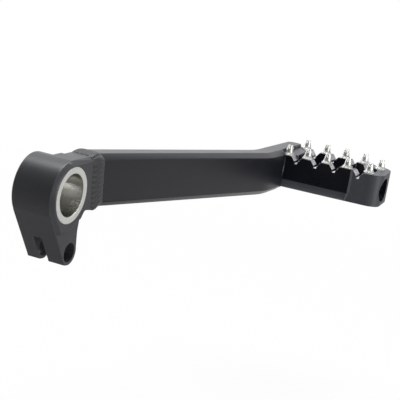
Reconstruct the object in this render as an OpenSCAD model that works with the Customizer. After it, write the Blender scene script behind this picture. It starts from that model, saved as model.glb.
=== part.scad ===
// Rear brake pedal for an off-road motorcycle.
// A machined hub turns on a plain pivot bush and ends below in a forked lug for the
// push rod of the master cylinder. A bevelled bar is welded to the hub, and an open
// cleated tip is screwed into a rebate in the outboard side of the bar's far end.
// X runs forward along the bar, Y runs inboard and Z runs up.
// The origin is the middle of the pivot bush.

/* [Pivot] */
// Bore of the pivot bush
bush_bore = 13; // [12.6:0.1:13.6]
// Outside diameter of the pivot bush
bush_outer = 17; // [16.4:0.1:17.6]
// Length of the hub barrel and of its bush
hub_length = 14.2; // [14:0.1:15]
// Outside diameter of the hub barrel
barrel_outer = 20.4; // [20.2:0.1:21]
// Bevel round the rims of the barrel
rim_bevel = 1.2; // [0.8:0.1:1.3]

/* [Push rod lug] */
// Distance of the push rod hole ahead of the pivot
rod_forward = 7.4; // [7.1:0.1:7.7]
// Distance of the push rod hole below the pivot
rod_drop = 17.85; // [17.4:0.05:18.4]
// Push rod hole through both ears
rod_bore = 6; // [5:0.1:6.2]
// Radius of the lug's nose round the push rod hole
nose_radius = 3.95; // [3.9:0.05:4.3]
// Width of the slot between the ears
slot_width = 2.9; // [2.6:0.1:3.4]
// Height of the slot's roof below the pivot
slot_roof = 14.35; // [14:0.05:14.6]

/* [Bar] */
// Height of the bar
bar_height = 16.45; // [15.5:0.05:17]
// Thickness of the bar
bar_thickness = 9.05; // [8.8:0.05:9.6]
// Bevel along the four long edges of the bar
bar_bevel = 1.7; // [1:0.1:2]
// Height of the bar's centre line above the pivot
bar_rise = 3.95; // [3.7:0.05:4.2]
// Distance ahead of the pivot where the bar's two straight runs would cross
bend_at = 153.9; // [150:0.5:158]
// Turn of the bar's end towards the machine, in degrees
turn_in = 6; // [5:0.5:7]
// Climb of the bar's end, in degrees
turn_up = 3; // [2.5:0.5:3.5]
// Radius of the bend along the centre line
bend_radius = 90; // [60:5:110]

/* [Weld] */
// Distance ahead of the pivot where bar and hub meet, on the centre line
joint_at = 14.4; // [14:0.1:15]
// Lean of the joint, top towards the rear, in degrees
joint_lean = 14.2; // [12:0.2:16]
// Half width of the weld bead along the bar
bead_reach = 3.6; // [3:0.1:4]
// Height of the bead above the faces that it joins
bead_crown = 0.4; // [0.3:0.05:0.7]

/* [Tip] */
// Distance ahead of the pivot of the tip's rear face at the bar
tip_at = 174.5; // [172:0.5:176]
// Depth of the tip from its rear face to its front face
tip_depth = 31.2; // [31:0.1:31.6]
// Reach of the tip outboard of the bar's side
tip_reach = 39.1; // [38.9:0.1:39.6]
// Height of the tip from its underside to its pads
tip_height = 12.7; // [12:0.1:13.2]
// Climb of the tip towards the front, in degrees
tip_pitch = 4.5; // [4:0.5:5]
// Depth of the rebate in the bar that seats the tip
seat_depth = 2; // [1.8:0.05:2.2]
// Depth of the pocket in the tip's rear face
pocket_depth = 1.5; // [1:0.1:1.8]
// Depth of the notches between the pads
notch_depth = 2.8; // [2.4:0.1:3.4]

/* [Cleats] */
// Diameter of a cleat's skirt where it sits on its pad
skirt_diameter = 4.5; // [4:0.1:4.6]
// Diameter of a cleat at its crown
crown_diameter = 1.9; // [1.8:0.1:2.4]
// Height of a cleat above its pad
cleat_height = 3.9; // [3.4:0.1:4.4]
// Diameter of the threaded shank
shank_diameter = 2.6; // [2.4:0.1:2.8]
// Length of the threaded shank below the pad
shank_length = 6; // [5:0.5:7]

/* [Hidden] */
$fn = 48;
arc_steps = 6;
// Overrun that lets a cutting tool clear the faces it opens
over = 1;
// Side of a block that is larger than anything it trims
block = 2 * (hub_length + bar_height);
anodised = [0.17, 0.17, 0.18];
anodised_light = [0.24, 0.24, 0.25];
stainless = [0.85, 0.85, 0.82];
steel = [0.78, 0.78, 0.74];

hub_half = hub_length / 2;
barrel_radius = barrel_outer / 2;
bore_bevel = 0.12;

// Faces that run out of the barrel start this far inside its surface
tangent_inset = 0.02;
// The straight bevels are a hair larger than the turned one, and run out over it
bevel_extra = 0.04;
web_bevel = rim_bevel + bevel_extra;
bevel_lead = 1.7;
inboard_rim_bevel = 0.25;

// Outline of the lug seen from outboard, with Z up. Its rear face runs out of the barrel
// at the angle lug_tangent and goes straight down to the toe.
lug_tangent = 222.3;
lug_waist = [9.95, -11.4];
lug_front = 9.85;
waist_radius = 9;
slot_centre = 1.35;
// Below the bush the outboard face ends in a round boss with a foot along the rear edge,
// and the lug lies a step behind it
boss_radius = 10.65;
boss_foot_length = 6.3;
boss_foot = [-1.5, -11.6];
boss_toe = [1.2, -10.3];
throat_corner = 9.6;
throat_foot = [8.1, -7.4];
throat_radius = 1.6;
lug_step_depth = 0.14;
lug_recess = rim_bevel + lug_step_depth;

bar_setback = 0.05;
bar_outboard = hub_half - bar_setback;
bar_mid_y = bar_thickness / 2 - bar_outboard;
// The bend stands this little proud, and both straight runs start inside it
bend_proud = 0.01;
bend_overlap = 0.4;
bar_inboard = bar_thickness - bar_outboard;
bar_top = bar_rise + bar_height / 2;
bar_under = bar_rise - bar_height / 2;
bend_angle = acos(cos(turn_in) * cos(turn_up));
bend_tilt = atan2(sin(turn_up), sin(turn_in) * cos(turn_up));
bend_trim = bend_radius * tan(bend_angle / 2);
bend_start = bend_at - bend_trim;
end_radius = 4;

// Web of the hub, which carries the bar
joint_slope = tan(joint_lean);
joint_top_x = joint_at - joint_slope * (bar_top - bar_rise);
joint_under_x = joint_at + joint_slope * (bar_rise - bar_under);
web_top_drop = 0.4;
web_under_drop = 0.5;
web_inboard_step = -0.3;
web_top = bar_top - web_top_drop;
web_under = bar_under - web_under_drop;
web_inboard = bar_inboard + web_inboard_step;
web_length = 20;
web_tangent_radius = barrel_radius - tangent_inset;
web_lean = atan2(web_top, joint_top_x) + acos(web_tangent_radius / norm([joint_top_x, web_top])) - 90;
web_start = web_tangent_radius * [-sin(web_lean), cos(web_lean)];
web_end = web_start + web_length * [cos(web_lean), sin(web_lean)];
// Where the bevel on the web's inboard edge starts, clear of the barrel
inboard_bevel_share = 0.3;
inboard_bevel_start = web_start + inboard_bevel_share * (web_end - web_start);

groove_depth = 2.2;
groove_side = groove_depth * sqrt(2);
bead_steps = 8;
// Height of the web where the bead begins on it
bead_web_top = web_top - tan(web_lean) * bead_reach;

// Places in the tip's own frame: x forward, y inboard, z up from its underside
tip_side_y = tan(turn_in) * (tip_at - bend_at) - bar_outboard;
tip_floor_z = -1.6;
rear_row_x = 4;
// Places along the tip, as shares of its reach outboard
rear_row_shares = [0.008, 0.208, 0.416, 0.632, 0.863];
rear_notch_shares = [0.108, 0.314, 0.513, 0.775];
front_row_shares = [0.031, 0.25, 0.468, 0.685, 0.895];
front_row_inset = [2.8, 2.8, 4.1, 5.5, 11.6];
front_face_shares = [0.294, 0.499, 0.69];
front_face_inset = [0, 1.1, 2.9];
front_face_radii = [12, 14, 14];
rear_row_y = [for (share = rear_row_shares) -tip_reach * share];
front_row = [for (i = [0 : len(front_row_inset) - 1])
    [tip_depth - front_row_inset[i], -tip_reach * front_row_shares[i]]];
front_face_y = [for (share = front_face_shares) -tip_reach * share];
outer_corner = 9;
outer_corner_inset = 7;
// The end wall leans: its rear corner stands this far outboard of its front corner
end_lean = 0.8;
tip_inset = 0.3;
end_front_y = -tip_inset - tip_reach;
end_rear_y = end_front_y - end_lean;
rear_corner = 5.2;
wall = 5.3;
rear_wall_inside = 6.6;
bar_side_inside = -3.2;
end_wall = 4.4;
cavity_corner = 2;
cavity_skew = 1.75;
cavity_radii = [8, 10, 8];
cavity_outer_corner = 5;
cavity_outer_inset = 3;
pocket_end_share = 0.683;
pocket_end = -pocket_end_share * tip_reach;
ledge_rise = 2.9;
ledge_foot = 0.3;
notch_mouth = 2.1;
notch_waist = 0.75;
notch_waist_share = 0.62;
notch_floor = 0.55;
window_from = 2.8;
window_to = 15.6;
window_low = 1.5;
window_high = 10.7;

screw_spacing = 12;
screw_setback = 0.1;
screw_middle = tip_depth / 2 - screw_setback;
screw_x = [screw_middle - screw_spacing / 2, screw_middle + screw_spacing / 2];
screw_z = 6.3;
screw_diameter = 5;
screw_clear = 5.4;
screw_reach = 5.2;
screw_head_diameter = 8.4;
screw_head_height = 2.6;
screw_socket = 3.5;
screw_socket_depth = 1.6;
counterbore_diameter = 9;
counterbore_depth = 2.8;
seat_thickness = bar_thickness - seat_depth;

skirt_height = 1.1;
skirt_waist_diameter = 3;
crown_slot = 0.55;
crown_slot_depth = 1.3;
crown_hollow = 1.1;

function unit(v) = v / norm(v);

function turn_between(from, to) =
    let (gap = to - from)
    gap > 180 ? gap - 360 : (gap < -180 ? gap + 360 : gap);

// Arc that rounds the corner b between a and c
function corner_arc(a, b, c, radius, steps = arc_steps) =
    let (
        back = unit(a - b),
        ahead = unit(c - b),
        half = acos(back * ahead) / 2,
        centre = b + unit(back + ahead) * radius / sin(half),
        first = b + back * radius / tan(half) - centre,
        last = b + ahead * radius / tan(half) - centre,
        start = atan2(first.y, first.x),
        sweep = turn_between(start, atan2(last.y, last.x))
    )
    [for (i = [0 : steps]) centre + radius * [cos(start + sweep * i / steps), sin(start + sweep * i / steps)]];

// Closed outline whose corners are rounded; a radius of 0 leaves a corner sharp
function rounded(points, radii) =
    let (count = len(points))
    [for (i = [0 : count - 1])
        each (radii[i] > 0
            ? corner_arc(points[(i + count - 1) % count], points[i], points[(i + 1) % count], radii[i])
            : [points[i]])];

// Solid whose outline is drawn in the XZ plane and which spans y from near to far
module side_plate(outline, near, far) {
    translate([0, far, 0])
        rotate([90, 0, 0])
            linear_extrude(far - near)
                polygon(outline);
}

// Frame of the joint between hub and bar, with x across the joint
module at_joint() {
    translate([joint_at, bar_mid_y, bar_rise])
        rotate([0, -joint_lean, 0])
            children();
}

// Frame of the tip
module at_tip() {
    translate([tip_at, tip_side_y, tip_floor_z])
        rotate([0, -tip_pitch, turn_in])
            children();
}

// Frame that takes a straight length of bar to the far side of the bend
module past_bend() {
    translate([bend_start, bar_mid_y, bar_rise])
        rotate([bend_tilt, 0, 0])
            translate([0, bend_radius, 0])
                rotate([0, 0, bend_angle])
                    translate([0, -bend_radius, 0])
                        rotate([-bend_tilt, 0, 0])
                            children();
}

// Section of the bar about its centre line, as [across, up]
bar_half = [bar_thickness / 2, bar_height / 2];
function bar_section(grow = 0) =
    let (half = bar_half + [grow, grow])
    [
        [-half.x + bar_bevel, -half.y], [half.x - bar_bevel, -half.y],
        [half.x, -half.y + bar_bevel], [half.x, half.y - bar_bevel],
        [half.x - bar_bevel, half.y], [-half.x + bar_bevel, half.y],
        [-half.x, half.y - bar_bevel], [-half.x, -half.y + bar_bevel]
    ];

// Straight length of bar that starts at the origin and runs along X
module bar_run(length) {
    rotate([90, 0, 90])
        linear_extrude(length)
            polygon(bar_section());
}

// Bar through the bend, turned about the tilted axis of the bend
module bar_bend() {
    tilted = [for (p = bar_section(bend_proud))
        [bend_radius - p.x * cos(bend_tilt) - p.y * sin(bend_tilt), p.y * cos(bend_tilt) - p.x * sin(bend_tilt)]];
    translate([bend_start, bar_mid_y, bar_rise])
        rotate([bend_tilt, 0, 0])
            translate([0, bend_radius, 0])
                rotate([0, 0, -90])
                    rotate_extrude(angle = bend_angle, $fn = 360)
                        polygon(tilted);
}

// Rounded corner of the bar's end, with the bevel carried round it
module bar_end_corner() {
    rotate_extrude($fn = 48)
        polygon([
            [0, -bar_half.y],
            [end_radius - bar_bevel, -bar_half.y],
            [end_radius, -bar_half.y + bar_bevel],
            [end_radius, bar_half.y - bar_bevel],
            [end_radius - bar_bevel, bar_half.y],
            [0, bar_half.y]
        ]);
}

// End of the bar: two rounded corners with a bevelled face between them
module bar_end() {
    side = bar_half.x - end_radius;
    for (y = [-side, side])
        translate([0, y, 0])
            bar_end_corner();
    side_plate([
        [-over, -bar_half.y],
        [end_radius - bar_bevel, -bar_half.y],
        [end_radius, -bar_half.y + bar_bevel],
        [end_radius, bar_half.y - bar_bevel],
        [end_radius - bar_bevel, bar_half.y],
        [-over, bar_half.y]
    ], -side, side);
}

// Length of straight bar between the bend and the rounding of its end
bar_tail = (tip_at + tip_depth - bend_at) / cos(turn_in) - bend_trim - end_radius;

// V grooves that the weld metal fills, one along each side of the joint
module weld_grooves() {
    at_joint() {
        for (y = [-bar_half.x, bar_half.x + (web_inboard - bar_inboard) / 2])
            translate([0, y, 0])
                rotate([0, 0, 45])
                    cube([groove_side, groove_side, block], center = true);
    }
    for (spot = [[joint_top_x, bar_top], [joint_under_x, bar_under]])
        translate([spot.x, 0, spot.y])
            rotate([0, 45 - joint_lean, 0])
                cube([groove_side, block, groove_side], center = true);
}

// Everything on one side of the joint: 1 ahead of it, -1 behind it
module beyond_joint(side) {
    at_joint()
        translate([side * block / 2, 0, 0])
            cube([block, block, block], center = true);
}

module barrel() {
    rotate([90, 0, 0])
        rotate_extrude($fn = 96)
            polygon([
                [0, -hub_half],
                [barrel_radius - inboard_rim_bevel, -hub_half],
                [barrel_radius, inboard_rim_bevel - hub_half],
                [barrel_radius, hub_half - rim_bevel],
                [barrel_radius - rim_bevel, hub_half],
                [0, hub_half]
            ]);
}

// Prism that bevels the edge between two points [x, z] at the depth y
module edge_bevel(from, to, y, size, lead = 0) {
    step = to - from;
    translate([from.x, y, from.y])
        rotate([0, -atan2(step.y, step.x), 0])
            rotate([45, 0, 0])
                translate([-lead, -size / sqrt(2), -size / sqrt(2)])
                    cube([norm(step) + lead, size * sqrt(2), size * sqrt(2)]);
}

// Web between the barrel and the joint, with the throat below it that runs into the lug
module web() {
    outline = rounded(
        [[0, 0], web_start, web_end, [web_end.x, web_under],
            [throat_corner, web_under], throat_foot, [0, throat_foot.y]],
        [0, 0, 0, 0, throat_radius, 0, 0]
    );
    side_plate(outline, -hub_half, web_inboard);
}

// Lug below the barrel, before the slot and the hole
module lug() {
    rear = [cos(lug_tangent), sin(lug_tangent)];
    outline = rounded(
        [(barrel_radius + over) * rear, [0, 0], [lug_front, 0], [lug_front, web_under], lug_waist,
            [rod_forward + nose_radius, -rod_drop], [rod_forward, -rod_drop],
            [rod_forward, -rod_drop - nose_radius], [rod_forward - nose_radius, -rod_drop - nose_radius]],
        [0, 0, 0, 0, waist_radius, 0, 0, 0, 0]
    );
    difference() {
        union() {
            side_plate(outline, -hub_half, hub_half);
            translate([rod_forward, hub_half, -rod_drop])
                rotate([90, 0, 0])
                    cylinder(r = nose_radius, h = hub_length);
        }
        // Flat rear face
        rotate([0, -lug_tangent, 0])
            translate([barrel_radius - tangent_inset, -hub_length, -block / 2])
                cube([block, 2 * hub_length, block]);
        lug_step(rear);
    }
}

// Everything outside the boss on the outboard side of the lug
module lug_step(rear) {
    along = [-rear.y, rear.x];
    heel = (barrel_radius + over) * rear;
    difference() {
        translate([-block / 2, -hub_half - over, web_under / 2 - block])
            cube([block, lug_recess + over, block]);
        rotate([90, 0, 0])
            cylinder(r = boss_radius, h = hub_length, $fn = 96);
        side_plate(
            [[0, 0], heel, heel + boss_foot_length * along, boss_foot, boss_toe],
            -hub_length, 0
        );
    }
}

module hub_blank() {
    rear = [cos(lug_tangent), sin(lug_tangent)];
    along = [-rear.y, rear.x];
    edge_start = (barrel_radius - tangent_inset) * rear;
    web_underside_end = [web_end.x, web_under];
    difference() {
        union() {
            barrel();
            web();
            lug();
        }
        edge_bevel(edge_start, edge_start + 2 * boss_radius * along, -hub_half, web_bevel, bevel_lead);
        edge_bevel(web_start, web_end, -hub_half, web_bevel, bevel_lead);
        edge_bevel(inboard_bevel_start, web_end, web_inboard, web_bevel);
        edge_bevel([throat_corner + throat_radius + over, web_under], web_underside_end, web_inboard, web_bevel);
        beyond_joint(1);
        weld_grooves();
    }
}

module hub() {
    color(anodised_light)
        difference() {
            hub_blank();
            rotate([90, 0, 0])
                cylinder(d = bush_outer, h = hub_length + 2 * over, center = true, $fn = 96);
            translate([rod_forward, 0, -rod_drop])
                rotate([90, 0, 0])
                    cylinder(d = rod_bore, h = block, center = true);
            translate([-block / 2, slot_centre - slot_width / 2, -slot_roof - block])
                cube([block, slot_width, block]);
        }
}

module bar_blank() {
    difference() {
        union() {
            translate([0, bar_mid_y, bar_rise])
                bar_run(bend_start + bend_overlap);
            bar_bend();
            past_bend()
                translate([-bend_overlap, 0, 0])
                    bar_run(bar_tail + bend_overlap);
            past_bend()
                translate([bar_tail, 0, 0])
                    bar_end();
        }
        beyond_joint(-1);
        weld_grooves();
    }
}

// Holes through the seat for the two screws, with counterbores on the inboard side
module screw_holes() {
    for (x = screw_x)
        at_tip()
            translate([x, seat_depth, screw_z])
                rotate([-90, 0, 0]) {
                    translate([0, 0, -over])
                        cylinder(d = screw_clear, h = block);
                    translate([0, 0, seat_thickness - counterbore_depth])
                        cylinder(d = counterbore_diameter, h = block);
                }
}

module bar() {
    color(anodised)
        difference() {
            bar_blank();
            at_tip()
                translate([0, seat_depth - block, -block / 2])
                    cube([block, block, block]);
            screw_holes();
        }
}

// Height of the bead's crown at a share of its reach, from -1 to 1
function crown_at(share) = bead_crown * (1 - share * share);

function blend(from, to, share) = from + (to - from) * (share + 1) / 2;

// Distance of a bevelled corner from the centre line, by its reach across and up
function corner_distance(across, up, bevel) = (across + up - bevel) / sqrt(2);

// Band across the joint that is thickest at the joint itself. Its upper and lower faces
// run from the hub's distance to the bar's, both measured from the bar's centre line.
module bead_band(upper, lower) {
    shares = [for (i = [0 : bead_steps]) 2 * i / bead_steps - 1];
    side_plate(concat(
        [for (s = shares) [joint_top_x + s * bead_reach, blend(upper[0], upper[1], s) + crown_at(s)]],
        [for (i = [bead_steps : -1 : 0])
            let (s = shares[i])
            [joint_under_x + s * bead_reach, -blend(lower[0], lower[1], s) - crown_at(s)]]
    ), -block / 2, block / 2);
}

// Bead all round the joint: what the grooves and the crowned bands leave outside hub and bar
module weld_bead() {
    shares = [for (i = [0 : bead_steps]) 2 * i / bead_steps - 1];
    up = [bead_web_top - bar_rise, bar_half.y];
    down = [bar_rise - web_under, bar_half.y];
    out = [hub_half + bar_mid_y, bar_half.x];
    in = [web_inboard - bar_mid_y, bar_half.x];
    bevels = [web_bevel, bar_bevel];
    color(anodised_light)
        difference() {
            translate([0, bar_mid_y, bar_rise])
                intersection() {
                    bead_band(up, down);
                    rotate([45, 0, 0])
                        bead_band(
                            [for (i = [0, 1]) corner_distance(out[i], up[i], bevels[i])],
                            [for (i = [0, 1]) corner_distance(in[i], down[i], bevels[i])]
                        );
                    rotate([-45, 0, 0])
                        bead_band(
                            [for (i = [0, 1]) corner_distance(in[i], up[i], bevels[i])],
                            [for (i = [0, 1]) corner_distance(out[i], down[i], bevels[i])]
                        );
                    translate([joint_at, 0, 0])
                        rotate([0, -joint_lean, 0])
                            linear_extrude(block, center = true)
                                polygon(concat(
                                    [for (s = shares)
                                        [s * bead_reach * cos(joint_lean), -blend(out[0], out[1], s) - crown_at(s)]],
                                    [for (i = [bead_steps : -1 : 0])
                                        let (s = shares[i])
                                        [s * bead_reach * cos(joint_lean), blend(in[0], in[1], s) + crown_at(s)]]
                                ));
                }
            hub_blank();
            bar_blank();
        }
}

module pivot_bush() {
    inner = bush_bore / 2;
    outer = bush_outer / 2;
    color(steel)
        rotate([90, 0, 0])
            rotate_extrude($fn = 96)
                polygon([
                    [inner, bore_bevel - hub_half],
                    [inner + bore_bevel, -hub_half],
                    [outer, -hub_half],
                    [outer, hub_half],
                    [inner + bore_bevel, hub_half],
                    [inner, hub_half - bore_bevel]
                ]);
}

// Outline of the tip from above, x forward and y inboard
function tip_outline() = rounded(
    concat(
        [[0, seat_depth], [tip_depth, seat_depth]],
        [for (i = [0 : len(front_face_y) - 1]) [tip_depth - front_face_inset[i], front_face_y[i]]],
        [[tip_depth - outer_corner_inset, end_front_y], [0, end_rear_y]]
    ),
    concat([0, 0], front_face_radii, [outer_corner, rear_corner])
);

// Outline of the open middle of the tip
function cavity_outline() = rounded(
    concat(
        [[rear_wall_inside, bar_side_inside], [tip_depth - wall, bar_side_inside]],
        [for (i = [0 : len(front_face_y) - 1])
            [tip_depth - front_face_inset[i] - wall, front_face_y[i] + cavity_skew]],
        [[tip_depth - outer_corner_inset - wall - cavity_outer_inset, end_wall + end_front_y],
            [rear_wall_inside, end_wall + end_front_y - end_lean / 2]]
    ),
    concat([cavity_corner, cavity_corner], cavity_radii, [cavity_outer_corner, cavity_corner])
);

// Notch between two pads, open upwards, that runs along the x axis
module notch(length) {
    depth = notch_depth;
    waist = depth * notch_waist_share;
    rotate([90, 0, 90])
        linear_extrude(length, center = true)
            polygon(rounded(
                [
                    [-notch_mouth - over, over], [-notch_mouth, 0], [-notch_waist, -waist],
                    [-notch_floor, -depth], [notch_floor, -depth],
                    [notch_waist, -waist], [notch_mouth, 0], [notch_mouth + over, over]
                ],
                [0, 0, 0, notch_floor / 2, notch_floor / 2, 0, 0, 0]
            ));
}

module tip_notches() {
    count = len(rear_row_y);
    translate([0, 0, tip_height])
        for (i = [0 : count - 2]) {
            // Rear wall
            translate([0, -tip_reach * rear_notch_shares[i], 0])
                notch(2 * rear_wall_inside + over);
            // Front wall, square to the line between its two cleats
            here = front_row[i];
            next = front_row[i + 1];
            middle = (here + next) / 2;
            translate([middle.x, middle.y, 0])
                rotate([0, 0, atan2(next.x - here.x, here.y - next.y)])
                    notch(2 * wall);
        }
}

// Pocket in the rear face, with a sloping ledge along its lower edge
module rear_pocket() {
    translate([0, pocket_end, 0])
        side_plate([
            [-over, tip_height + over], [-over, ledge_foot], [0, ledge_foot],
            [pocket_depth, ledge_rise], [pocket_depth, tip_height + over]
        ], 0, -pocket_end);
    // The pocket and its ledge run out to the outboard side in a round corner
    translate([0, pocket_end, 0])
        rotate_extrude()
            polygon([
                [0, ledge_foot], [pocket_depth, ledge_rise],
                [pocket_depth, tip_height + over], [0, tip_height + over]
            ]);
}

// Long window through the outboard wall
module end_window() {
    radius = (window_high - window_low) / 2;
    middle = (window_high + window_low) / 2;
    for (x = [window_from + radius, window_to - radius])
        translate([x, end_rear_y - over, middle])
            rotate([-90, 0, 0])
                cylinder(r = radius, h = end_wall + end_lean + wall);
    translate([window_from + radius, end_rear_y - over, window_low])
        cube([window_to - window_from - 2 * radius, end_wall + end_lean + wall, 2 * radius]);
}

module tip_frame() {
    color(anodised)
        at_tip()
            difference() {
                linear_extrude(tip_height)
                    polygon(tip_outline());
                translate([0, 0, -over])
                    linear_extrude(tip_height + 2 * over)
                        polygon(cavity_outline());
                rear_pocket();
                tip_notches();
                end_window();
                for (spot = cleat_spots)
                    translate([spot.x, spot.y, tip_height - shank_length])
                        cylinder(d = shank_diameter, h = shank_length + over);
                for (x = screw_x)
                    translate([x, seat_depth + over, screw_z])
                        rotate([90, 0, 0])
                            cylinder(d = screw_diameter, h = over + screw_reach);
            }
}

rear_spots = [for (y = rear_row_y) [rear_row_x, y]];
cleat_spots = concat(rear_spots, front_row);

// One cleat: threaded shank, flared skirt and a hollow crown slotted across
module cleat(spot) {
    waist = skirt_waist_diameter / 2;
    crown = crown_diameter / 2;
    color(stainless)
        at_tip()
            translate([spot.x, spot.y, tip_height])
                difference() {
                    rotate_extrude()
                        polygon([
                            [0, -shank_length],
                            [shank_diameter / 2, -shank_length],
                            [shank_diameter / 2, 0],
                            [skirt_diameter / 2, 0],
                            [waist, skirt_height],
                            [crown, cleat_height],
                            [0, cleat_height]
                        ]);
                    translate([0, 0, cleat_height - crown_slot_depth])
                        cylinder(d = crown_hollow, h = crown_slot_depth + over);
                    for (a = [0, 90])
                        rotate([0, 0, a])
                            translate([-skirt_diameter, -crown_slot / 2, cleat_height - crown_slot_depth])
                                cube([2 * skirt_diameter, crown_slot, crown_slot_depth + over]);
                }
}

// Low socket-head screw that enters from the inboard side
module tip_screw(x) {
    color(steel)
        at_tip()
            translate([x, seat_depth + seat_thickness - counterbore_depth, screw_z])
                rotate([-90, 0, 0])
                    difference() {
                        union() {
                            cylinder(d = screw_head_diameter, h = screw_head_height);
                            translate([0, 0, counterbore_depth - seat_thickness - screw_reach])
                                cylinder(d = screw_diameter, h = screw_reach + seat_thickness - counterbore_depth);
                        }
                        translate([0, 0, screw_head_height - screw_socket_depth])
                            cylinder(d = screw_socket, h = screw_socket_depth + over, $fn = 6);
                    }
}

hub();
bar();
weld_bead();
pivot_bush();
tip_frame();
cleat(rear_spots[0]);  // cleat_rear_1
cleat(rear_spots[1]);  // cleat_rear_2
cleat(rear_spots[2]);  // cleat_rear_3
cleat(rear_spots[3]);  // cleat_rear_4
cleat(rear_spots[4]);  // cleat_rear_5
cleat(front_row[0]);  // cleat_front_1
cleat(front_row[1]);  // cleat_front_2
cleat(front_row[2]);  // cleat_front_3
cleat(front_row[3]);  // cleat_front_4
cleat(front_row[4]);  // cleat_front_5
tip_screw(screw_x[0]);  // tip_screw_rear
tip_screw(screw_x[1]);  // tip_screw_front
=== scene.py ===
from math import cos, hypot, pi, radians, sin, tan

import bmesh
import bpy
from mathutils import Matrix, Vector


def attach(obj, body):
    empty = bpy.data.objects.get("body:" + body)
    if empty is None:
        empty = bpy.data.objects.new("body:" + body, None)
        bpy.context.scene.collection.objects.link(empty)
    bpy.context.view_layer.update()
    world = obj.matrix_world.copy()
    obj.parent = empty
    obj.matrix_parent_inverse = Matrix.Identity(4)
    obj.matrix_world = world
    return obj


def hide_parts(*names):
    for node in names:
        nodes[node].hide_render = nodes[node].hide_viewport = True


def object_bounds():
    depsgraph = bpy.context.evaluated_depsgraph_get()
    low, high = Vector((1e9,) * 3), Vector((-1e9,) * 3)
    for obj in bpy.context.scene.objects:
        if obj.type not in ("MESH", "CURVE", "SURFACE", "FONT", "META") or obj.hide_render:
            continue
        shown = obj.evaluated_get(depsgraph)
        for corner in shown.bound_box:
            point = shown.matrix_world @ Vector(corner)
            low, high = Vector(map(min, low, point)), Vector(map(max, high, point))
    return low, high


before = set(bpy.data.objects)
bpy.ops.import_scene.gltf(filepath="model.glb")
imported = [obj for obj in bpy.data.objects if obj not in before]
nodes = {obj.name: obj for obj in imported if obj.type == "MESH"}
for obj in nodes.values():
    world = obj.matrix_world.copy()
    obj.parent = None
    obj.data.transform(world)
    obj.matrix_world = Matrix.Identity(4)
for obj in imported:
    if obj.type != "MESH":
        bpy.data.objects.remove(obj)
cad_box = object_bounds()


# Camera and lamps.
# A long lens looks at the pedal from the rear outboard side, a little above it. A wide
# soft box hangs over the pedal, and weaker ones stand outboard, to the rear and inboard.

MM = 0.001
camera_data = bpy.data.cameras.new("Photograph view")
camera_data.sensor_width = 36
camera_data.lens = 127.8
camera_data.clip_start = 0.01
camera_data.clip_end = 40
camera = bpy.data.objects.new("Photograph view", camera_data)
bpy.context.scene.collection.objects.link(camera)
camera_place = Vector((-359.25, -201.46, 55.56)) * MM
view_right = Vector((0.4093, -0.8913, 0.1953)).normalized()
view_up = Vector((0.0309, 0.2275, 0.9733)).normalized()
view_back = view_right.cross(view_up)
view_axes = Matrix((view_right, view_up, view_back)).transposed().to_4x4()
camera.matrix_world = Matrix.Translation(camera_place) @ view_axes
bpy.context.scene.camera = camera
bpy.context.scene.view_settings.view_transform = "Standard"

lamp_aim = Vector((0.1, 0, 0))


def soft_box(name, place, width, height, power):
    light = bpy.data.lights.new(name, "AREA")
    light.shape = "RECTANGLE"
    light.size = width
    light.size_y = height
    light.energy = power
    lamp = bpy.data.objects.new(name, light)
    lamp.location = place
    lamp.rotation_euler = (lamp_aim - Vector(place)).to_track_quat("-Z", "Y").to_euler()
    bpy.context.scene.collection.objects.link(lamp)


soft_box("Overhead soft box", (0.16, 0.05, 0.95), width=0.9, height=0.7, power=11)
soft_box("Outboard soft box", (0.08, -0.97, 0.15), width=0.5, height=0.45, power=4.6)
soft_box("Rear outboard strip", (-0.75, -0.85, 0.2), width=0.35, height=0.6, power=0.8)
soft_box("Inboard soft box", (0.2, 0.95, 0.3), width=0.5, height=0.5, power=2)


# Room and floor.
# The room is plain white to the eye. In a gloss it is a white sweep ahead and inboard of the
# pedal, dimmer to the rear and outboard. A wide pale floor lies below and keeps a soft shadow.

world = bpy.data.worlds.new("Pale room")
bpy.context.scene.world = world
world.use_nodes = True
room = world.node_tree
room.nodes.clear()


def feed(tree, value, socket):
    if isinstance(value, (int, float)):
        socket.default_value = value
    else:
        tree.links.new(value, socket)


def maths(tree, operation, *values):
    node = tree.nodes.new("ShaderNodeMath")
    node.operation = operation
    for slot, value in enumerate(values):
        feed(tree, value, node.inputs[slot])
    return node.outputs[0]


def fade(tree, value, start, end, low, high, kind="SMOOTHSTEP"):
    node = tree.nodes.new("ShaderNodeMapRange")
    node.interpolation_type = kind
    labels = ("Value", "From Min", "From Max", "To Min", "To Max")
    for label, amount in zip(labels, (value, start, end, low, high)):
        feed(tree, amount, node.inputs[label])
    return node.outputs["Result"]


def glow(tree, kind, color, strength):
    node = tree.nodes.new(kind)
    node.inputs["Color"].default_value = color
    feed(tree, strength, node.inputs["Strength"])
    return node.outputs[0]


def mixed(tree, share, first, second):
    node = tree.nodes.new("ShaderNodeMixShader")
    for slot, value in enumerate((share, first, second)):
        tree.links.new(value, node.inputs[slot])
    return node.outputs[0]


def place_in(tree, kind):
    return tree.nodes.new("ShaderNodeTexCoord").outputs[kind]


def axes_of(tree, place):
    node = tree.nodes.new("ShaderNodeSeparateXYZ")
    tree.links.new(place, node.inputs[0])
    return node.outputs


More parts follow.
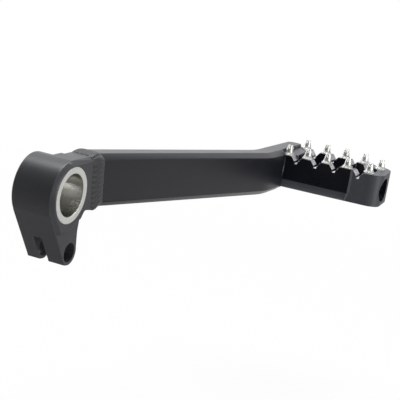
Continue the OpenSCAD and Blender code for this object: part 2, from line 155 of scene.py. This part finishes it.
room_ray = room.nodes.new("ShaderNodeLightPath").outputs
room_axes = axes_of(room, place_in(room, "Generated"))
sweep = maths(
    room, "MULTIPLY",
    fade(room, room_axes["X"], start=-0.45, end=0.25, low=0.1, high=1),
    fade(room, room_axes["Y"], start=-0.45, end=0.15, low=0.25, high=1),
)
room_light = glow(room, "ShaderNodeBackground", (0.97, 0.98, 1, 1), strength=0.12)
room_shine = glow(room, "ShaderNodeBackground", (0.96, 0.98, 1, 1), strength=sweep)
room_white = glow(room, "ShaderNodeBackground", (1, 1, 1, 1), strength=1)
room_lit = mixed(room, room_ray["Is Glossy Ray"], room_light, room_shine)
room_lit = mixed(room, room_ray["Is Transmission Ray"], room_lit, room_white)
room_lit = mixed(room, room_ray["Is Camera Ray"], room_lit, room_white)
room_out = room.nodes.new("ShaderNodeOutputWorld")
room.links.new(room_lit, room_out.inputs[0])

floor_drop = 60 * MM
floor_reach = 9
floor_shape = bmesh.new()
bmesh.ops.create_grid(
    floor_shape, x_segments=1, y_segments=1, size=floor_reach,
    matrix=Matrix.Translation((0, 0, cad_box[0][2] - floor_drop)),
)
floor_mesh = bpy.data.meshes.new("Floor")
floor_shape.to_mesh(floor_mesh)
floor_shape.free()
floor = bpy.data.objects.new("Floor", floor_mesh)
bpy.context.scene.collection.objects.link(floor)

floor_paint = bpy.data.materials.new("Pale floor")
floor_paint.use_nodes = True
paint = floor_paint.node_tree
paint.nodes.clear()
paint_ray = paint.nodes.new("ShaderNodeLightPath").outputs
paint_place = place_in(paint, "Object")
paint_axes = axes_of(paint, paint_place)
# In a gloss the floor is bright ahead and inboard of the pedal, as the room is
paint_sweep = maths(
    paint, "MULTIPLY",
    fade(paint, paint_axes["X"], start=-0.1, end=0.5, low=0.08, high=0.95),
    fade(paint, paint_axes["Y"], start=-0.25, end=0.1, low=0.3, high=1),
)
paint_glow = paint.nodes.new("ShaderNodeMix")
paint_glow.inputs["A"].default_value = 1
paint.links.new(paint_ray["Is Glossy Ray"], paint_glow.inputs["Factor"])
paint.links.new(paint_sweep, paint_glow.inputs["B"])
# Close to the pedal some bare paint shows through the white, and with it the shadow
from_pedal = paint.nodes.new("ShaderNodeVectorMath")
from_pedal.operation = "LENGTH"
paint.links.new(paint_place, from_pedal.inputs[0])
whiteness = fade(
    paint, from_pedal.outputs["Value"], start=0.2, end=0.9, low=0.93, high=1, kind="LINEAR"
)
seen = maths(paint, "MAXIMUM", paint_ray["Is Camera Ray"], paint_ray["Is Glossy Ray"])
seen = maths(paint, "MAXIMUM", seen, paint_ray["Is Transmission Ray"])
bare_paint = paint.nodes.new("ShaderNodeBsdfDiffuse")
bare_paint.inputs["Color"].default_value = (0.8, 0.8, 0.8, 1)
paint_out = paint.nodes.new("ShaderNodeOutputMaterial")
paint.links.new(
    mixed(
        paint, maths(paint, "MULTIPLY", seen, whiteness), bare_paint.outputs[0],
        glow(paint, "ShaderNodeEmission", (1, 1, 1, 1), strength=paint_glow.outputs["Result"]),
    ),
    paint_out.inputs[0],
)
floor_mesh.materials.append(floor_paint)


# Hub.
# One block of aluminium, bored and turned for the bush and milled to the web and the
# forked lug. It is tumbled, which eases its edges, and anodised satin black.

hub_ease = 0.2 * MM
# The turned barrel, into whose side the web's and the lug's edges run out
barrel_radius = 10.2 * MM
barrel_slack = 0.2 * MM
barrel_ends = (-5.7 * MM, 6.7 * MM)
# Where short edges meet too closely for a rounding
hub_tight_spots = [Vector(p) * MM for p in ((-7.54, -5.9, -6.87), (-2.9, -5.85, 9.85))]
tight_reach = 0.9 * MM
# The leaning joint with the bar, whose groove edges stay sharp under the weld
joint_centre = Vector((14.4, -2.525, 3.95)) * MM
joint_lean = radians(14.2)
joint_cover = 3.4 * MM


def group_with(name, inputs, outputs):
    group = bpy.data.node_groups.new(name, "ShaderNodeTree")
    kinds = {"color": "NodeSocketColor", "float": "NodeSocketFloat", "vector": "NodeSocketVector"}
    for label, kind, value in inputs:
        socket = group.interface.new_socket(label, in_out="INPUT", socket_type=kinds[kind])
        if value is not None:
            socket.default_value = value
    for label, kind in outputs:
        group.interface.new_socket(label, in_out="OUTPUT", socket_type=kinds[kind])
    given = group.nodes.new("NodeGroupInput").outputs
    made = group.nodes.new("NodeGroupOutput").inputs
    return group, given, made


def noise(tree, place, size, detail):
    node = tree.nodes.new("ShaderNodeTexNoise")
    node.inputs["Detail"].default_value = detail
    tree.links.new(place, node.inputs["Vector"])
    tree.links.new(size, node.inputs["Scale"])
    return node.outputs["Fac"]


def tinted(tree, share, first, second):
    node = tree.nodes.new("ShaderNodeMix")
    node.data_type = "RGBA"
    for label, value in (("Factor", share), ("A", first), ("B", second)):
        tree.links.new(value, node.inputs[label])
    return node.outputs["Result"]


def relief_of(tree, height, depth, strength, under=None):
    node = tree.nodes.new("ShaderNodeBump")
    node.inputs["Distance"].default_value = depth
    tree.links.new(height, node.inputs["Height"])
    tree.links.new(strength, node.inputs["Strength"])
    if under:
        tree.links.new(under, node.inputs["Normal"])
    return node.outputs["Normal"]


# Grain of a finished metal: clouded colour and gloss, a fine relief and brighter edges, which are
# partly wear and partly a painted glint
surface_grain, grain_given, grain_made = group_with(
    "Surface grain",
    (
        ("Dark", "color", (0.01, 0.01, 0.01, 1)), ("Light", "color", (0.02, 0.02, 0.02, 1)),
        ("Edge color", "color", (0.1, 0.1, 0.1, 1)), ("Edge", "float", 0),
        ("Roughness low", "float", 0.3), ("Roughness high", "float", 0.4),
        ("Cloud size", "float", 40), ("Grain size", "float", 2500), ("Relief", "float", 0.1),
    ),
    (("Color", "color"), ("Roughness", "float"), ("Normal", "vector")),
)
grain_depth = 0.05 * MM
# How much of the fine grain and of the clouds goes into the gloss, the shade and the edge wear and
# painted glint
grain_in_gloss = 0.5
grain_in_shade = 0.6
clouds_in_shade = 0.5
clouds_in_wear_and_glint = 1.2
least_wear_and_glint = 0.1
grain_place = place_in(surface_grain, "Object")
clouds = noise(surface_grain, grain_place, grain_given["Cloud size"], detail=4)
grain = noise(surface_grain, grain_place, grain_given["Grain size"], detail=3)
gloss = maths(surface_grain, "MULTIPLY_ADD", grain, grain_in_gloss, clouds)
shade = maths(surface_grain, "MULTIPLY_ADD", grain, grain_in_shade, maths(
    surface_grain, "MULTIPLY", clouds, clouds_in_shade))
wear_and_glint = maths(surface_grain, "MULTIPLY", grain_given["Edge"], maths(
    surface_grain, "MULTIPLY_ADD", clouds, clouds_in_wear_and_glint, least_wear_and_glint))
without_wear_and_glint = tinted(surface_grain, shade, grain_given["Dark"], grain_given["Light"])
for label, value in (
    ("Color", tinted(surface_grain, wear_and_glint, without_wear_and_glint, grain_given["Edge color"])),
    ("Roughness", fade(
        surface_grain, gloss, start=0.3, end=0.7, low=grain_given["Roughness low"],
        high=grain_given["Roughness high"], kind="LINEAR")),
    ("Normal", relief_of(surface_grain, grain, grain_depth, grain_given["Relief"])),
):
    surface_grain.links.new(value, grain_made[label])


def metal_finish(name, metallic, **values):
    material = bpy.data.materials.new(name)
    material.use_nodes = True
    tree = material.node_tree
    shader = tree.nodes["Principled BSDF"]
    shader.inputs["Metallic"].default_value = metallic
    surface = tree.nodes.new("ShaderNodeGroup")
    surface.node_tree = surface_grain
    for label, value in values.items():
        surface.inputs[label.replace("_", " ").capitalize()].default_value = value
    # Rounded edges take the edge colour, partly as wear and partly as a painted glint
    edge = tree.nodes.new("ShaderNodeAttribute")
    edge.attribute_name = "edge"
    tree.links.new(edge.outputs["Fac"], surface.inputs["Edge"])
    tree.links.new(surface.outputs["Color"], shader.inputs["Base Color"])
    tree.links.new(surface.outputs["Roughness"], shader.inputs["Roughness"])
    tree.links.new(surface.outputs["Normal"], shader.inputs["Normal"])
    return material


def eased_copy(node, name, width, material, stays_sharp=None, sharper_than=22):
    merged_within = 0.025 * MM
    slivers_under = 0.01 * MM
    flat_within = radians(0.6)
    shaded_sharp_over = radians(40)
    shape = bmesh.new()
    shape.from_mesh(nodes[node].data)
    bmesh.ops.remove_doubles(shape, verts=shape.verts, dist=merged_within)
    bmesh.ops.dissolve_degenerate(shape, edges=shape.edges, dist=slivers_under)
    bmesh.ops.dissolve_limit(
        shape, angle_limit=flat_within, verts=shape.verts, edges=shape.edges,
        use_dissolve_boundaries=False,
    )
    # Only outward corners are rounded, so the copy stays inside the solid
    corners = [
        e for e in shape.edges
        if len(e.link_faces) == 2
        and e.is_convex
        and e.calc_face_angle(0) > radians(sharper_than)
        and e.calc_length() > width
        and not (stays_sharp and stays_sharp((e.verts[0].co + e.verts[1].co) / 2))
    ]
    made = bmesh.ops.bevel(
        shape, geom=corners, offset=width, offset_type="OFFSET", affect="EDGES",
        segments=2, profile=0.5, material=-1, clamp_overlap=False,
    )
    # The finishes read from "edge" where a point lies on a rounding
    rounded = set(made["faces"])
    edge = shape.verts.layers.float.new("edge")
    for v in shape.verts:
        v[edge] = 1.0 if v.link_faces and all(f in rounded for f in v.link_faces) else 0.0
    for f in shape.faces:
        f.smooth = True
    mesh = bpy.data.meshes.new(name)
    shape.to_mesh(mesh)
    shape.free()
    mesh.set_sharp_from_angle(angle=shaded_sharp_over)
    piece = bpy.data.objects.new(name, mesh)
    bpy.context.scene.collection.objects.link(piece)
    flat_faces = piece.modifiers.new("Flat faces stay flat", "WEIGHTED_NORMAL")
    flat_faces.keep_sharp = True
    piece.data.materials.append(material)
    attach(piece, "root")
    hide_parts(node)
    return piece


def near_any(point, spots):
    return any((point - spot).length < tight_reach for spot in spots)


def across_joint(point):
    spot = point - joint_centre
    return spot.x * cos(joint_lean) + spot.z * sin(joint_lean)


def hub_stays_sharp(point):
    on_barrel = abs(hypot(point.x, point.z) - barrel_radius) < barrel_slack
    runs_into_barrel = on_barrel and barrel_ends[0] < point.y < barrel_ends[1]
    under_weld = across_joint(point) > -joint_cover
    return runs_into_barrel or under_weld or near_any(point, hub_tight_spots)


black_hub = metal_finish(
    "Satin black anodising on the hub", metallic=0,
    dark=(0.036, 0.037, 0.041, 1), light=(0.058, 0.06, 0.066, 1),
    edge_color=(0.1, 0.102, 0.11, 1),
    roughness_low=0.29, roughness_high=0.38, cloud_size=80, grain_size=2200, relief=0.2,
)
eased_copy("hub", "eased_hub", hub_ease, black_hub, hub_stays_sharp)


# Bar.
# Flat aluminium bar with bevelled edges, bent once near its far end and milled there to
# seat the tip. It is anodised satin black with the hub.

bar_ease = 0.18 * MM
black_bar = metal_finish(
    "Satin black anodising on the bar", metallic=0,
    dark=(0.0055, 0.006, 0.0085, 1), light=(0.01, 0.011, 0.0145, 1),
    edge_color=(0.05, 0.052, 0.058, 1),
    roughness_low=0.25, roughness_high=0.33, cloud_size=60, grain_size=2600, relief=0.15,
)
eased_copy(
    "bar", "eased_bar", bar_ease, black_bar,
    lambda point: across_joint(point) < joint_cover,
)


# Weld bead.
# Filler metal laid all round the joint in small overlapping ripples, then anodised with the
# rest. It fills the groove along the joint and stands a little proud of both sides.

black_weld = metal_finish(
    "Satin black anodising on the weld", metallic=0,
    dark=(0.026, 0.026, 0.028, 1), light=(0.044, 0.044, 0.047, 1),
    edge_color=(0.06, 0.06, 0.06, 1),
    roughness_low=0.36, roughness_high=0.46, cloud_size=200, grain_size=2600, relief=0.25,
)
# The section of the hub and of the bar where they meet, in mm from the joint's centre, with
# its bevels: upper outboard, upper inboard, lower inboard and lower outboard
hub_side = {"out": 4.575, "in": 4.23, "up": 7.45, "down": 8.725, "bevels": (1.24, 1.24, 1.24, 0.4)}
bar_side = {"out": 4.525, "in": 4.525, "up": 8.225, "down": 8.225, "bevels": (1.7, 1.7, 1.7, 1.7)}
corner_round = 0.75
corner_steps = 5
# The bead's own sizes in mm
bead_half_width = 3.6
bead_height = 0.46
bead_thickness = 1.2
bead_sink = 0.03
bead_girth = 46
ripple_pitch = 1.5
ripple_height = 0.17
# As shares: how far a ripple bows along the bead, how much it widens the bead, and how much
# of the half width the step from the hub's section to the bar's takes
ripple_bow = 0.32
ripple_spread = 0.03
step_share = 1.7
bead_columns = 320
bead_rows = 16


def bead_outline(side):
    out, inn, up, down = side["out"], side["in"], side["up"], side["down"]
    upper_out, upper_in, lower_in, lower_out = side["bevels"]
    return [
        Vector(p) for p in (
            (upper_out - out, up), (inn - upper_in, up),
            (inn, up - upper_in), (inn, lower_in - down),
            (inn - lower_in, -down), (lower_out - out, -down),
            (-out, lower_out - down), (-out, up - upper_out),
        )
    ]


def rounded_loop(corners, radius, steps):
    longest = 0.45
    loop = []
    for i, corner in enumerate(corners):
        before, after = corners[i - 1] - corner, corners[(i + 1) % len(corners)] - corner
        start = corner + before.normalized() * min(radius, longest * before.length)
        end = corner + after.normalized() * min(radius, longest * after.length)
        for k in range(steps + 1):
            t = k / steps
            loop.append(start * (1 - t) ** 2 + corner * 2 * t * (1 - t) + end * t * t)
    return loop


bead_loops = [
    rounded_loop(bead_outline(side), corner_round, corner_steps) for side in (hub_side, bar_side)
]
bead_stretches = [
    [(loop[i], loop[(i + 1) % len(loop)]) for i in range(len(loop))] for loop in bead_loops
]
stretch_lengths = [
    ((a[1] - a[0]).length + (b[1] - b[0]).length) / 2 for a, b in zip(*bead_stretches)
]


# The point on each side's section at a share of the way round, and the way out from it
def round_the_joint(share):
    left = (share % 1) * sum(stretch_lengths)
    for i, length in enumerate(stretch_lengths):
        if left <= length or i == len(stretch_lengths) - 1:
            break
        left -= length
    spots = []
    for stretches in bead_stretches:
        start, end = stretches[i]
        along = (end - start).normalized()
        spots.append((start.lerp(end, left / length), Vector((-along.y, along.x))))
    return spots


ripples = round(bead_girth / ripple_pitch)
bead_shape = bmesh.new()
bmesh.ops.create_grid(bead_shape, x_segments=bead_columns, y_segments=bead_rows, size=0.5)
for v in bead_shape.verts:
    share = v.co.x + 0.5
    across = v.co.y * 2
    # Each ripple bows back from the middle of the bead to its sides
    phase = share * ripples + ripple_bow * across * across
    swell = 1 - (2 * (phase % 1) - 1) ** 2
    (near, near_out), (far, far_out) = round_the_joint(share)
    # The step from the hub's section to the bar's lies under the middle of the bead
    blend = min(max(across / step_share + 0.5, 0), 1)
    blend = blend * blend * (3 - 2 * blend)
    spot = near.lerp(far, blend)
    out = near_out.lerp(far_out, blend).normalized()
    crown = 1 - across * across
    spot += out * (bead_height * crown + ripple_height * swell * crown ** 0.5 - bead_sink)
    x = across * bead_half_width * (1 + ripple_spread * swell)
    v.co = joint_centre + Vector((x - tan(joint_lean) * spot.y, spot.x, spot.y)) * MM
# The two ends of the band meet here, after the round
bmesh.ops.remove_doubles(bead_shape, verts=bead_shape.verts, dist=0.001 * MM)
bmesh.ops.recalc_face_normals(bead_shape, faces=bead_shape.faces)
for f in bead_shape.faces:
    f.smooth = True
bead_mesh = bpy.data.meshes.new("rippled_bead")
bead_shape.to_mesh(bead_mesh)
bead_shape.free()
bead = bpy.data.objects.new("rippled_bead", bead_mesh)
bpy.context.scene.collection.objects.link(bead)
# Its thickness goes inwards, into the groove
bead_wall = bead.modifiers.new("Thickness of the bead", "SOLIDIFY")
bead_wall.thickness = bead_thickness * MM
bead_wall.offset = -1
bead_mesh.materials.append(black_weld)
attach(bead, "root")
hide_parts("weld_bead")


# Pivot bush.
# A plain steel bush, turned and bored, then plated bright. It is pressed flush into the
# finished hub, and its ends show the rings of the facing cut.

bush_ease = 0.05 * MM
# Fine rings that a lathe leaves about the pivot's axis, on faces and in bores alike
lathe_rings, rings_given, rings_made = group_with(
    "Lathe rings",
    (
        ("Along the axis", "float", 0), ("Spacing", "float", 0.3 * MM), ("Depth", "float", 0.1),
        ("Normal", "vector", None),
    ),
    (("Normal", "vector"),),
)
ring_depth = 0.02 * MM
# The rings wander a little in spacing and in depth, as a hand feed leaves them
drift_scale = 900
drift_turns = 3
rings_axes = axes_of(lathe_rings, place_in(lathe_rings, "Object"))
radius = maths(lathe_rings, "SQRT", maths(
    lathe_rings, "MULTIPLY_ADD", rings_axes["X"], rings_axes["X"],
    maths(lathe_rings, "MULTIPLY", rings_axes["Z"], rings_axes["Z"])))
outwards = maths(lathe_rings, "SUBTRACT", 1, rings_given["Along the axis"])
reach = maths(lathe_rings, "MULTIPLY_ADD", radius, outwards, maths(
    lathe_rings, "MULTIPLY", rings_axes["Y"], rings_given["Along the axis"]))
drift = lathe_rings.nodes.new("ShaderNodeTexNoise")
drift.noise_dimensions = "1D"
drift.inputs["Scale"].default_value = drift_scale
lathe_rings.links.new(reach, drift.inputs["W"])
turns = maths(lathe_rings, "DIVIDE", reach, rings_given["Spacing"])
wander = maths(lathe_rings, "MULTIPLY_ADD", drift.outputs["Fac"], drift_turns, turns)
rings = maths(lathe_rings, "SINE", maths(lathe_rings, "MULTIPLY", wander, 2 * pi))
rings = maths(lathe_rings, "MULTIPLY", rings, drift.outputs["Fac"])
lathe_rings.links.new(
    relief_of(lathe_rings, rings, ring_depth, rings_given["Depth"], rings_given["Normal"]),
    rings_made["Normal"],
)


def turned_finish(name, along_the_axis, spacing, depth, **values):
    material = metal_finish(name, metallic=1, **values)
    tree = material.node_tree
    shader_normal = tree.nodes["Principled BSDF"].inputs["Normal"]
    lathe = tree.nodes.new("ShaderNodeGroup")
    lathe.node_tree = lathe_rings
    lathe.inputs["Along the axis"].default_value = along_the_axis
    lathe.inputs["Spacing"].default_value = spacing
    lathe.inputs["Depth"].default_value = depth
    tree.links.new(shader_normal.links[0].from_socket, lathe.inputs["Normal"])
    tree.links.new(lathe.outputs["Normal"], shader_normal)
    return material


bush_bore = turned_finish(
    "Turned and plated bore", along_the_axis=1, spacing=0.55 * MM, depth=0.12,
    dark=(0.5, 0.495, 0.465, 1), light=(0.66, 0.655, 0.62, 1), edge_color=(0.9, 0.9, 0.86, 1),
    roughness_low=0.22, roughness_high=0.28, cloud_size=140, grain_size=1900, relief=0.05,
)
bush_ends = turned_finish(
    "Faced and plated ends", along_the_axis=0, spacing=0.45 * MM, depth=0.15,
    dark=(0.8, 0.795, 0.75, 1), light=(0.96, 0.955, 0.92, 1), edge_color=(0.9, 0.9, 0.86, 1),
    roughness_low=0.48, roughness_high=0.62, cloud_size=140, grain_size=1900, relief=0.6,
)
bush = eased_copy("pivot_bush", "turned_bush", bush_ease, bush_bore)
bush_finishes = [bush_bore, bush_ends]
bush.data.materials.append(bush_ends)
for face in bush.data.polygons:
    looks_along_axis = abs(face.normal.y) > 0.7
    face.material_index = bush_finishes.index(bush_ends if looks_along_axis else bush_bore)


# Tip.
# An open frame milled from aluminium, with pads and notches on top, a pocket in its rear
# face and a long window in its end. It is screwed to the bar and anodised satin black.

tip_ease = 0.12 * MM
tip_tight_spots = [Vector(p) * MM for p in ((176.8, -33.05, 11.1), (180.9, -36.7, 11.4))]
# Its edge colour is far lighter than its body, a painted glint along the tip's rounded edges
black_tip = metal_finish(
    "Satin black anodising on the tip", metallic=0,
    dark=(0.04, 0.042, 0.05, 1), light=(0.064, 0.067, 0.079, 1),
    edge_color=(0.16, 0.165, 0.18, 1),
    roughness_low=0.34, roughness_high=0.44, cloud_size=90, grain_size=2600, relief=0.2,
)
# Near black for the pocket's floor and the walls round the open middle, a painted shade in these
# recesses
pocket_painted_shade = metal_finish(
    "Smooth black with painted shade inside the tip", metallic=0,
    dark=(0.0025, 0.003, 0.006, 1), light=(0.005, 0.006, 0.011, 1),
    edge_color=(0.05, 0.052, 0.058, 1),
    roughness_low=0.22, roughness_high=0.3, cloud_size=90, grain_size=2600, relief=0.08,
)
bright_notch_metal = metal_finish(
    "Bright metal of the notches", metallic=1,
    dark=(0.6, 0.61, 0.64, 1), light=(0.8, 0.81, 0.84, 1), edge_color=(0.9, 0.9, 0.92, 1),
    roughness_low=0.3, roughness_high=0.42, cloud_size=300, grain_size=3000, relief=0.3,
)
# A lighter colour for the slanting faces at the pocket's outboard end, a painted highlight
pocket_end_painted_highlight = metal_finish(
    "Painted highlight at the pocket's end", metallic=0,
    dark=(0.1, 0.105, 0.12, 1), light=(0.16, 0.168, 0.19, 1), edge_color=(0.2, 0.205, 0.22, 1),
    roughness_low=0.3, roughness_high=0.4, cloud_size=200, grain_size=2600, relief=0.2,
)
tip = eased_copy(
    "tip_frame", "eased_tip_frame", tip_ease, black_tip,
    lambda point: near_any(point, tip_tight_spots),
)
tip_finishes = [black_tip, pocket_painted_shade, bright_notch_metal, pocket_end_painted_highlight]
for finish in tip_finishes[1:]:
    tip.data.materials.append(finish)

# Directions of the tilted tip, and how far its pocket's floor and its pads lie along them
tip_rearwards = Vector((-0.992, -0.104, -0.078)).normalized()
tip_upwards = Vector((-0.078, -0.008, 0.997)).normalized()
pocket_floor = -173.87 * MM
floor_slack = 0.2 * MM
pads = -2.47 * MM
notch_depth = 2.8 * MM
notch_slack = 0.15 * MM
open_middle = Vector((190, -24, 6)) * MM
pocket_end = (-33.5 * MM, -28 * MM)


def tip_finish_of(face):
    rearwards = face.normal.dot(tip_rearwards)
    upwards = face.normal.dot(tip_upwards)
    off_floor = abs(face.center.dot(tip_rearwards) - pocket_floor)
    below_pads = pads - face.center.dot(tip_upwards)
    # The pocket's floor takes the painted shade
    if rearwards > 0.99 and off_floor < floor_slack:
        return pocket_painted_shade
    # The flanks and floors of the notches, not the sides of the rails, are coloured bright metal
    in_notch = notch_slack < below_pads < notch_depth + notch_slack
    if in_notch and abs(rearwards) < 0.55 and upwards > 0.3:
        return bright_notch_metal
    # The walls round the open middle look towards it, and take the painted shade
    if (face.center - open_middle).dot(face.normal) < 0:
        return pocket_painted_shade
    # The slanting faces that close the pocket at its outboard end take a lighter colour, a painted
    # highlight
    at_pocket_end = pocket_end[0] < face.center.y < pocket_end[1]
    if at_pocket_end and 0.3 < rearwards < 0.985 and face.normal.y > 0:
        return pocket_end_painted_highlight
    return black_tip


for face in tip.data.polygons:
    face.material_index = tip_finishes.index(tip_finish_of(face))


# Cleats.
# Ten hollow stainless cleats with a flared skirt and a crown slotted across both ways,
# screwed into the pads. They are left bright.

cleat_ease = 0.06 * MM
bright_cleat = metal_finish(
    "Bright stainless", metallic=1,
    dark=(0.7, 0.7, 0.67, 1), light=(0.86, 0.86, 0.83, 1), edge_color=(0.95, 0.95, 0.93, 1),
    roughness_low=0.36, roughness_high=0.46, cloud_size=400, grain_size=3000, relief=0.1,
)
for row in ("rear", "front"):
    for number in range(1, 6):
        cleat = f"cleat_{row}_{number}"
        eased_copy(
            cleat, f"bright_{cleat}", cleat_ease, bright_cleat, sharper_than=30
        )


# Tip screws.
# Two low socket-head screws hold the tip to the bar from the inboard side, in deep
# counterbores. They are dark zinc plated.

screw_ease = 0.15 * MM
dark_screw = metal_finish(
    "Dark plated screw steel", metallic=1,
    dark=(0.14, 0.14, 0.145, 1), light=(0.22, 0.22, 0.225, 1), edge_color=(0.4, 0.4, 0.41, 1),
    roughness_low=0.3, roughness_high=0.42, cloud_size=300, grain_size=3000, relief=0.1,
)
for end in ("rear", "front"):
    eased_copy(
        f"tip_screw_{end}", f"low_screw_{end}", screw_ease, dark_screw,
        sharper_than=35,
    )
